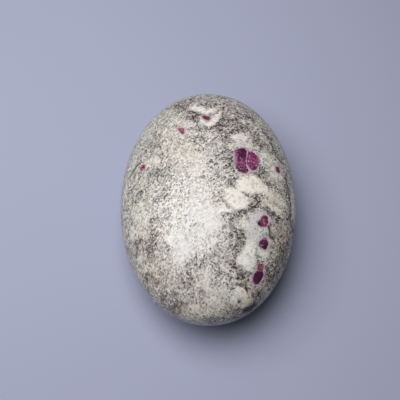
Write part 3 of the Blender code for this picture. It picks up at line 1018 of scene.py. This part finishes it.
# where they thin out
palePatches = {
    "farRight": (5.8, 25.2, 1.4, 1.0, 0.5),
    "farSpot": (7.0, 23.3, 1.4, 1.2, 0.7),
    "farRightLow": (9.5, 21.6, 1.8, 1.0, 0.5),
    "farLeftEnd": (-9.6, 21.2, 2.2, 1.4, 0.6),
    "leftOfLens": (-5.6, 19.6, 1.4, 1.0, 0.7),
    "farLeft": (-9.2, 16.6, 3.6, 2.8, 0.35),
    "belowLens": (-0.4, 15.9, 2.0, 1.1, 0.6),
    "belowLensRight": (2.4, 13.6, 1.2, 1.2, 0.5),
    "aboveRuby": (10.9, 13.4, 1.4, 1.2, 0.6),
    "left": (-10.4, 10.6, 3.2, 3.4, 0.35),
    "byRuby": (14.6, 9.2, 1.6, 2.0, 0.3),
    "upper": (-4.8, 8.8, 4.6, 4.0, 0.35),
    "leftOfRuby": (7.2, 8.6, 0.9, 2.2, 0.5),
    "leftHigh": (-15.4, 8.0, 2.2, 1.1, 0.8),
    "upperMiddle": (-2.2, 6.8, 2.0, 2.8, 0.7, -20),
    "leftRim": (-15.6, 6.2, 2.0, 1.0, 0.35),
    "centreUpper": (-3.3, 3.0, 1.1, 1.5, 0.5),
    "besideLip": (16.4, 0.8, 1.4, 0.8, 0.5),
    "byCream": (14.8, -0.8, 2.2, 1.3, 0.8, -25),
    "middle": (-2.2, -1.8, 4.4, 3.4, 0.45),
    "leftMiddle": (-10.4, -2.2, 1.4, 0.9, 0.5),
    "belowTail": (11.4, -3.4, 1.0, 1.0, 0.6),
    "right": (17.6, -4.6, 3.0, 2.6, 0.3, -20),
    "leftStreak": (-10.6, -5.0, 3.0, 0.8, 0.7, 25),
    "leftLow": (-18.6, -6.8, 2.6, 3.6, 0.5, 10),
    # painted highlight: fewer dark specks where the soft box's reflection washes them out
    "gloss": (-5.4, -7.0, 4.0, 4.4, 0.25),
    "rubyArc": (11.2, -9.6, 1.2, 1.4, 0.6),
    "centre": (0.2, -9.6, 3.2, 3.6, 0.6),
    "rubyArcLeft": (7.4, -10.6, 1.2, 1.0, 0.6),
    "frostLeft": (9.3, -10.6, 1.0, 1.5, 0.8),
    "teal": (-9.8, -11.2, 1.4, 4.6, 0.5),
    "rimLeft": (-20.3, -11.8, 1.6, 1.6, 0.6),
    "brownClump": (-17.2, -13.0, 1.0, 3.4, 0.8, -6),
    "centreNear": (1.4, -13.4, 2.0, 1.2, 0.5),
    "rightOfRubies": (10.6, -16.6, 1.2, 3.0, 0.4),
    "centreSlant": (-1.0, -16.8, 2.4, 0.9, 0.6, 20),
    "centreLow": (-2.6, -17.4, 1.6, 1.4, 0.6),
    "low": (-7.6, -18.4, 2.4, 3.6, 0.6, -10),
    "rightLow": (15.7, -19.8, 1.0, 1.2, 0.5),
    "rimLeftLow": (-17.8, -20.6, 1.6, 2.4, 0.6, 15),
    "nearLeft": (-16.0, -21.5, 1.6, 0.9, 0.7, 10),
    "byFrost": (3.8, -21.6, 1.2, 1.0, 0.6),
    "nearMiddle": (-0.7, -24.8, 1.2, 2.6, 0.8),
    "nearCentre": (-2.8, -25.4, 1.6, 3.0, 0.7),
    "nearLeftLow": (-13.4, -26.2, 0.9, 1.1, 0.7),
    "nearEye": (8.8, -27.8, 1.4, 1.4, 0.4),
    "near": (3.0, -28.6, 3.4, 3.4, 0.5),
    "nearRim": (-2.0, -32.2, 5.5, 1.6, 0.6),
}

# small clumps of nearly black grains
blackClumps = {
    "farLeftEdge": (-8.6, 25.4, 1.3, 0.9, 0.9, 20),
    "farRight": (7.6, 24.4, 1.3, 0.7, 0.8, 5),
    "leftOfLensTop": (-4.2, 24.3, 1.1, 0.8, 0.9),
    "leftOfLens": (-4.3, 21.6, 0.9, 1.1, 1.0),
    "belowLensRight": (2.3, 19.6, 0.9, 1.2, 0.95, -20),
    "aboveRuby": (9.7, 15.2, 1.0, 0.9, 0.8),
    "rightOfFar": (15.7, 13.7, 0.8, 0.9, 0.8),
    "leftOfRuby": (5.9, 6.4, 0.7, 1.0, 0.8),
    "leftClump": (-12.4, 1.4, 1.0, 0.8, 0.6),
    "leftClumpLow": (-10.6, -0.2, 1.0, 0.8, 0.7),
    "belowCream": (11.4, -5.4, 2.2, 0.6, 0.8),
    "rightRim": (17.3, -5.8, 0.8, 0.7, 0.9),
    "rightRimLow": (18.4, -7.6, 0.7, 0.9, 1.0),
    "rightOfUpperRuby": (16.0, -10.2, 0.6, 0.8, 0.9),
    "besideMiddleRuby": (7.7, -13.9, 1.2, 1.1, 1.0),
    "leftRim": (-18.5, -14.3, 1.1, 0.8, 0.9),
    "besideMiddleRubyLow": (7.7, -15.8, 0.7, 0.8, 0.9),
    "rightLow": (18.2, -20.8, 0.9, 0.9, 0.8),
    "besideEye": (6.8, -20.8, 0.8, 1.1, 1.0),
    "rightOfLowerRuby": (16.0, -23.0, 0.9, 0.8, 0.9),
    "nearMiddle": (-5.2, -25.2, 1.6, 0.6, 0.7, -20),
    "belowEye": (6.8, -27.2, 0.9, 0.7, 0.8),
    "nearRight": (13.3, -27.4, 1.0, 0.8, 0.8),
    "nearMaroon": (11.5, -30.6, 1.6, 0.8, 1.0, 20),
    "nearEdge": (1.0, -34.0, 1.4, 0.6, 1.0),
}

warmTints = {
    "farLeftEdge": (-12.5, 14.5, 5.0, 3.5, 0.4),
    "farLeft": (-8.0, 9.5, 5.0, 8.0, 0.35),
    "cream": (12.3, 2.5, 4.0, 2.5, 0.8),
    "right": (17.5, -2.5, 4.5, 3.0, 0.7),
    "centre": (3.5, -3.0, 2.2, 1.6, 0.5),
    "rightLow": (20.0, -14.5, 3.2, 8.0, 1.0, 12),
    "nearLeft": (-15.5, -22.5, 4.5, 2.5, 0.8),
    "rightLowEdge": (17.5, -23.0, 3.0, 5.0, 1.0, 25),
    "nearRight": (12.0, -29.0, 5.0, 3.0, 0.9, 35),
    "nearMiddle": (-3.5, -32.5, 7.0, 2.5, 0.9),
}

greenTints = {
    "farLeft": (-12.5, 22.5, 3.2, 3.0, 0.6),
    "farRightEdge": (15.0, 22.0, 3.0, 4.0, 0.6),
    "farCentre": (-2.2, 14.2, 2.2, 2.2, 0.5),
    "leftEdge": (-20.5, 4.5, 1.8, 2.4, 1.0),
    "leftMiddle": (-14.0, 3.0, 3.4, 3.0, 0.8),
    "centre": (-4.0, 0.0, 2.4, 2.0, 0.5),
    "rightEdge": (20.0, -3.0, 2.8, 3.2, 0.7),
    "left": (-19.0, -5.0, 4.0, 5.0, 0.9),
    "middleLeft": (-10.5, -11.0, 1.8, 4.2, 0.6),
    "frost": (10.2, -17.0, 2.8, 3.6, 0.35),
    "near": (3.5, -30.0, 4.5, 2.8, 0.6),
}

pinkTints = {
    "farRight": (4.0, 22.5, 4.0, 4.5, 0.7),
    "aboveLargeRuby": (9.0, 17.5, 2.5, 2.0, 0.6),
    "creamLowerLeft": (4.2, -2.4, 1.2, 1.8, 0.6, -20),
    "besideBand": (10.8, -3.0, 2.0, 2.0, 0.5),
    "creamLower": (8.6, -3.6, 2.4, 1.0, 0.6, -40),
    "rightLow": (20.2, -13.5, 2.6, 7.0, 0.7, 12),
    "leftBrown": (-17.0, -15.0, 3.5, 4.5, 0.9),
    "centreOrange": (4.5, -19.8, 2.4, 1.8, 0.8),
    "nearCentre": (-3.5, -26.0, 4.0, 3.0, 0.5),
    "nearLeft": (-13.0, -26.0, 3.0, 3.0, 0.6),
    "nearReddish": (9.8, -26.6, 1.6, 3.2, 1.0),
    "eye": (9.4, -28.0, 2.2, 1.8, 0.8),
    "nearMaroon": (12.0, -30.0, 3.0, 2.0, 1.0),
}

lavenderTints = {
    "rubyArc": (13.9, -6.6, 2.2, 0.8, 0.9, -10),
    "spotBySeam": (5.0, -6.9, 1.2, 0.6, 0.7),
    "rubyArcLeft": (11.2, -8.8, 0.9, 1.8, 0.6, -15),
    "frostLow": (11.2, -12.2, 1.2, 1.8, 0.4),
    # painted reflection: the bluish tinge of the soft box's highlight over the centre
    "middle": (-3.4, -12.5, 4.5, 5.5, 0.2),
    "aboveMiddleRuby": (14.3, -12.8, 1.6, 0.8, 0.9),
    # painted reflection: the bluish tinge at the highlight's lower end
    "highlightFootReflection": (-7.4, -18.0, 2.2, 2.6, 0.4),
}

softMarks = {
    "darkPatch": darkPatches,
    "palePatch": palePatches,
    "blackClump": blackClumps,
    "warmTint": warmTints,
    "greenTint": greenTints,
    "pinkTint": pinkTints,
    "lavenderTint": lavenderTints,
}

# marks in depth, mostly on the hidden sides and the underside: X, Y and Z of the middle, half width,
# half height, strength
deepMarks = {
    # maroon stain: partly real dark minerals, partly painted shade on the lower right rim, which is turned
    # from the lights
    "maroonStainAndShade": {
        "nearEdge": (11.3, -30.6, 16.1, 1.8, 1.4, 1.0),
        "nearEdgeLeft": (9.6, -31.5, 16.2, 1.0, 0.9, 0.9),
        "streakTop": (8.4, -26.0, 22.0, 0.5, 3.0, 0.7),
        "streak": (9.4, -26.5, 21.4, 0.6, 3.0, 0.8),
        "streakMiddle": (9.9, -27.1, 20.8, 0.6, 3.0, 0.95),
        "streakFoot": (10.7, -28.2, 19.6, 0.5, 3.0, 0.6),
        "rightRim": (21.6, -13.0, 18.5, 1.2, 1.6, 0.45),
        "rightRimNear": (20.0, -18.5, 16.8, 1.2, 1.4, 0.45),
    },
    "blackClump": {
        "right": (24.0, 6.5, 9.5, 1.3, 0.8, 0.9),
        "rightNear": (21.5, -15.5, 8.0, 1.1, 0.9, 0.9),
        "near": (6.0, -33.0, 9.5, 1.3, 0.8, 1.0),
        "nearLeft": (-12.0, -30.0, 7.0, 1.1, 0.9, 0.9),
        "left": (-23.0, -10.5, 8.5, 1.2, 0.7, 0.9),
        "leftFar": (-19.5, 20.5, 9.0, 1.2, 0.8, 0.8),
        "far": (-1.0, 34.0, 8.5, 1.2, 0.9, 0.9),
        "underMiddle": (-4.5, -6.5, 0.2, 1.3, 1.0, 0.9),
        "underLarge": (-12.5, 8.5, 1.2, 1.1, 1.0, 0.9),
        "underNear": (2.5, -24.0, 2.6, 1.2, 0.9, 0.9),
    },
    "darkPatch": {
        "right": (24.0, 4.5, 9.0, 3.4, 1.6, 0.8),
        "rightNear": (21.0, -17.5, 8.0, 2.4, 2.0, 0.9),
        "rightFar": (19.5, 19.0, 9.5, 2.2, 1.4, 0.7),
        "near": (9.0, -32.0, 9.0, 3.0, 1.8, 0.8),
        "nearLeft": (-11.0, -30.5, 7.5, 2.6, 2.0, 0.9),
        "left": (-22.5, -12.5, 8.5, 3.2, 1.5, 0.8),
        "leftMiddle": (-24.2, 2.5, 7.5, 2.2, 2.2, 0.8),
        "leftFar": (-19.5, 19.5, 9.0, 3.0, 1.4, 0.7),
        "far": (-3.0, 33.5, 8.5, 3.0, 2.2, 0.9),
        "farRight": (11.0, 30.5, 9.0, 2.4, 1.6, 0.8),
        "underCluster": (-12.5, 7.5, 1.2, 3.2, 3.0, 0.9),
        "underStreak": (9.5, 2.0, 0.6, 2.6, 3.0, 0.8),
        "underStreakFoot": (12.5, -3.0, 0.8, 2.2, 3.0, 0.8),
        "underFar": (3.0, 19.5, 1.2, 2.8, 3.0, 0.8),
        "underNear": (-8.5, -16.5, 1.2, 3.0, 3.0, 0.9),
        "underMiddle": (-2.5, -4.0, 0.2, 2.0, 3.0, 0.7),
        "underByRuby": (10.0, -18.0, 1.6, 1.8, 3.0, 0.8),
    },
    "creamPatch": {
        "right": (23.6, -4.5, 8.5, 2.4, 1.1, 1.0),
        "near": (-2.5, -33.6, 9.0, 2.6, 1.2, 1.0),
        "left": (-23.4, 9.0, 9.0, 2.0, 1.0, 1.0),
        "far": (5.5, 32.8, 10.0, 2.2, 1.0, 0.9),
        "underLens": (-6.2, 14.2, 1.0, 2.0, 3.0, 1.0),
        "underLensFoot": (-4.2, 11.4, 0.8, 1.5, 3.0, 1.0),
        "underPatch": (5.2, -12.8, 0.6, 2.0, 3.0, 1.0),
        "underSide": (15.5, 11.5, 2.4, 1.8, 3.0, 0.9),
    },
    "frostAndHighlightVeil": {
        "rightFar": (22.0, 12.5, 8.0, 3.4, 2.4, 0.9),
        "leftNear": (-19.5, -19.0, 6.5, 3.6, 2.6, 0.9),
        "under": (-1.0, 2.5, 0.2, 5.0, 3.0, 0.8),
        "underNear": (-2.5, -21.5, 1.6, 4.0, 3.0, 0.9),
        "underFar": (8.5, 13.0, 1.2, 3.2, 3.0, 0.8),
    },
    "warmTint": {
        "right": (20.0, -20.0, 8.0, 6.0, 4.0, 0.6),
        "far": (-14.0, 27.0, 7.0, 7.0, 4.0, 0.6),
        "under": (7.0, -4.0, 0.5, 7.0, 4.0, 0.6),
    },
    "greenTint": {
        "left": (-23.0, -6.0, 7.0, 6.0, 4.0, 0.6),
        "under": (-8.0, -12.0, 0.8, 7.0, 4.0, 0.6),
        "farRight": (16.0, 24.0, 7.0, 6.0, 4.0, 0.6),
    },
    "pinkTint": {
        "near": (4.0, -33.0, 6.0, 5.0, 4.0, 0.8),
        "underRuby": (-9.5, 12.0, 1.0, 5.0, 4.0, 0.8),
        "underFar": (2.0, 24.0, 2.0, 6.0, 4.0, 0.6),
    },
}

# hairline cracks and thin veins, as points along each
cracks = {
    "besideRubies": {"points": ((15.9, -10.3), (16.0, -11.6), (16.8, -12.9)), "width": 0.3},
    "besideRubiesEnd": {"points": ((17.0, -13.1), (17.8, -14.3)), "width": 0.17},
    "belowTail": {"points": ((14.6, -5.4), (16.2, -6.2), (17.5, -7.0)), "width": 0.15},
    "rightSeam": {
        "points": ((21.2, 5.2), (22.0, 1.1), (22.5, -2.3), (22.2, -5.8), (22.6, -8.0), (23.2, -9.6)),
        "width": 0.2,
    },
    "rightVein": {"points": ((17.2, 15.5), (18.3, 12.3), (19.3, 10.5), (21.2, 10.0)), "width": 0.15},
    "leftVein": {"points": ((-18.9, 8.7), (-20.2, 8.1), (-21.1, 6.8), (-22.1, 4.9)), "width": 0.18},
}

markShape = {
    "seed": 3,  # of the noise that makes the marks' edges uneven
    "grooveDepth": 0.09,
    "pocketDepth": 0.3,  # under a crystal
    "pocketSlope": 0.35,  # how far in from the outline it is full
    "haloReach": 0.55,
    "wanderSize": 1.3,
    "wander": 0.35,
    "deepWander": 0.7,
    "topFrom": 11.0,  # the height above which the marks of the top show
    "topFade": 4.0,
    "topWander": 2.0,
    "markFullness": 1.4,
    "markFall": 0.8,
    "fineByRuby": 0.55,  # how near a crystal's outline the faces are split
    "fineByCrack": 0.5,
}


def softCover(reach, strength):  # full in the middle, faint at a reach of 1
    fading = np.exp(-(reach ** markShape["markFullness"]) * markShape["markFall"])
    return min(strength, 0.999) * fading


def softField(x, y, marks):  # overlapping marks fill up towards 1
    bare = np.ones_like(x)
    for markX, markY, halfX, halfY, strength, *turn in marks.values():
        angle = math.radians(turn[0]) if turn else 0
        c, s = math.cos(angle), math.sin(angle)
        u = ((x - markX) * c + (y - markY) * s) / halfX
        v = ((y - markY) * c - (x - markX) * s) / halfY
        bare *= 1 - softCover(u * u + v * v, strength)
    return 1 - bare


def deepField(points, marks):
    bare = np.ones(len(points))
    for x, y, z, halfWidth, halfHeight, strength in marks.values():
        away = points - (x, y, z)
        reach = (away[:, 0] ** 2 + away[:, 1] ** 2) / halfWidth ** 2 + (away[:, 2] / halfHeight) ** 2
        bare *= 1 - softCover(reach, strength)
    return 1 - bare


def lineDistance(flat, corners):  # to the nearest of the lines between the corners
    best = np.full(len(flat), np.inf)
    for a, b in zip(corners, corners[1:]):
        edge = b - a
        along = np.clip(((flat - a) @ edge) / (edge @ edge), 0, 1)
        best = np.minimum(best, np.linalg.norm(flat - a - along[:, None] * edge, axis=1))
    return best


def outlineDistance(flat, outline):  # negative inside
    corners = np.array(outline + outline[:1])
    inside = np.zeros(len(flat), bool)
    for a, b in zip(corners, corners[1:]):
        crosses = (a[1] > flat[:, 1]) != (b[1] > flat[:, 1])
        with np.errstate(divide="ignore", invalid="ignore"):
            inside ^= crosses & (flat[:, 0] < (flat[:, 1] - a[1]) * (b[0] - a[0]) / (b[1] - a[1]) + a[0])
    distance = lineDistance(flat, corners)
    return np.where(inside, -distance, distance)


def outlineField(flat, patches):
    best = np.zeros(len(flat))
    for patch in patches.values():
        cover = np.clip(0.5 - outlineDistance(flat, patch["outline"]) / patch["edge"], 0, 1)
        best = np.maximum(best, cover * patch.get("strength", 1.0))
    return best


def crystalDistance(points, normals, surface, crystals):
    nearest = np.full(len(points), 9.0)
    for crystal in crystals.values():
        centre, normal, across, along = (np.array(v) for v in crystalFrame(surface, crystal))
        away = (points - centre) / mm
        close = (np.linalg.norm(away, axis=1) < 8) & (normals @ normal > 0.2)
        flat = np.stack([away[close] @ across, away[close] @ along], 1)
        nearest[close] = np.minimum(nearest[close], outlineDistance(flat, crystal["outline"]))
    return nearest


def crackDistance(flat, crack):
    return lineDistance(flat, np.array(crack["points"]))


def refineNear(mesh, surface, crystals, lines, shape):  # smaller faces where a crystal or a crack needs them
    points, normals = valuesOf(mesh, "co"), valuesOf(mesh, "normal")
    near = np.abs(crystalDistance(points, normals, surface, crystals)) < shape["fineByRuby"]
    for crack in lines.values():
        near |= (crackDistance(points[:, :2] / mm, crack) < shape["fineByCrack"]) & (normals[:, 2] > 0)
    form = bmesh.new()
    form.from_mesh(mesh)
    form.verts.ensure_lookup_table()
    edges = [edge for edge in form.edges if near[edge.verts[0].index] and near[edge.verts[1].index]]
    bmesh.ops.subdivide_edges(form, edges=edges, cuts=1, use_grid_fill=True)
    form.to_mesh(mesh)
    form.free()
    mesh.shade_smooth()


def markStone(mesh, surface, shape):
    noise.seed_set(shape["seed"])
    points, normals = valuesOf(mesh, "co"), valuesOf(mesh, "normal")
    uneven = np.array([noise.noise_vector(Vector(point) / (shape["wanderSize"] * mm)) for point in points])
    flat = points[:, :2] / mm + uneven[:, :2] * shape["wander"]
    deep = points / mm + uneven * shape["deepWander"]
    height = points[:, 2] / mm + uneven[:, 2] * shape["topWander"]
    top = np.clip((height - shape["topFrom"]) / shape["topFade"], 0, 1)
    ruby = crystalDistance(points, normals, surface, rubyCrystals)
    crack = np.zeros(len(points))
    for line in cracks.values():
        crack = np.maximum(crack, np.exp(-(crackDistance(flat, line) / line["width"]) ** 2) * top)
    fields = {name: softField(flat[:, 0], flat[:, 1], marks) * top for name, marks in softMarks.items()}
    fields["darkPatch"] -= fields.pop("palePatch")
    fields["creamPatch"] = outlineField(flat, creamOutlines) * top
    fields["frostAndHighlightVeil"] = outlineField(flat, frostAndHighlightOutlines) * top
    fields["rubyHalo"] = np.exp(-(np.maximum(ruby, 0) / shape["haloReach"]) ** 2)
    fields["crackLine"] = crack
    for name, marks in deepMarks.items():
        fields[name] = fields.get(name, 0) + deepField(deep, marks)
    for name, values in fields.items():
        layer = mesh.attributes.new(name, "FLOAT", "POINT")
        layer.data.foreach_set("value", values.astype(np.float32))
    depth = shape["pocketDepth"] * np.clip(-ruby / shape["pocketSlope"], 0, 1) + shape["grooveDepth"] * crack
    points -= normals * depth[:, None] * mm
    mesh.vertices.foreach_set("co", points.ravel())
    mesh.update()


refineNear(stoneMesh, stoneSurface, rubyCrystals, cracks, markShape)
markStone(stoneMesh, stoneSurface, markShape)
stone = addObject("stoneSurface", stoneMesh)
print("stone marked,", len(stoneMesh.polygons), "faces")


# studio: a plain floor, two soft lights and faint light all round

studioLook = {
    "floorColour": (0.381, 0.405, 0.548, 1),
    "floorRoughness": 0.9,
    "floorSize": 3.0,  # metres
    "floorDrop": 0.02,  # just below the stone
    "skyColour": (0.95, 0.97, 1.0, 1),
    "skyStrength": 0.07,
}

# round soft lights: where each stands in metres, its size, power and colour
softLights = {
    "softBox": {"place": (-0.099, 0.028, 0.282), "size": 0.30, "power": 0.855, "colour": (1.0, 0.99, 0.98)},
    "keyLight": {"place": (-0.029, 0.053, 0.294), "size": 0.18, "power": 0.15, "colour": (1.0, 0.99, 0.98)},
}


def makeFloor(look):
    form = bmesh.new()
    bmesh.ops.create_grid(form, x_segments=8, y_segments=8, size=look["floorSize"] / 2)
    for point in form.verts:
        point.co.z = -look["floorDrop"] * mm
    mesh = bpy.data.meshes.new("floor")
    form.to_mesh(mesh)
    form.free()
    material, _, shader = addMaterial("paleFloor")
    shader.inputs["Base Color"].default_value = look["floorColour"]
    shader.inputs["Roughness"].default_value = look["floorRoughness"]
    mesh.materials.append(material)
    addObject("floor", mesh)


def makeLights(look, lamps):
    for name, lamp in lamps.items():
        data = bpy.data.lights.new(name, "AREA")
        data.shape = "DISK"
        data.size = lamp["size"]
        data.energy = lamp["power"]
        data.color = lamp["colour"]
        place = Vector(lamp["place"])
        facing = place.to_track_quat("Z", "Y").to_matrix().to_4x4()
        addObject(name, data).matrix_world = Matrix.Translation(place) @ facing
    world = bpy.data.worlds.new("softRoom")
    bpy.context.scene.world = world
    world.use_nodes = True
    background = world.node_tree.nodes["Background"]
    background.inputs["Color"].default_value = look["skyColour"]
    background.inputs["Strength"].default_value = look["skyStrength"]
    bpy.context.scene.view_settings.view_transform = "Standard"


makeFloor(studioLook)
makeLights(studioLook, softLights)
print("studio lit")

for piece, slot in ((stone, "albite"), (rubies, "ruby")):
    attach(piece, "root")
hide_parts("stone")
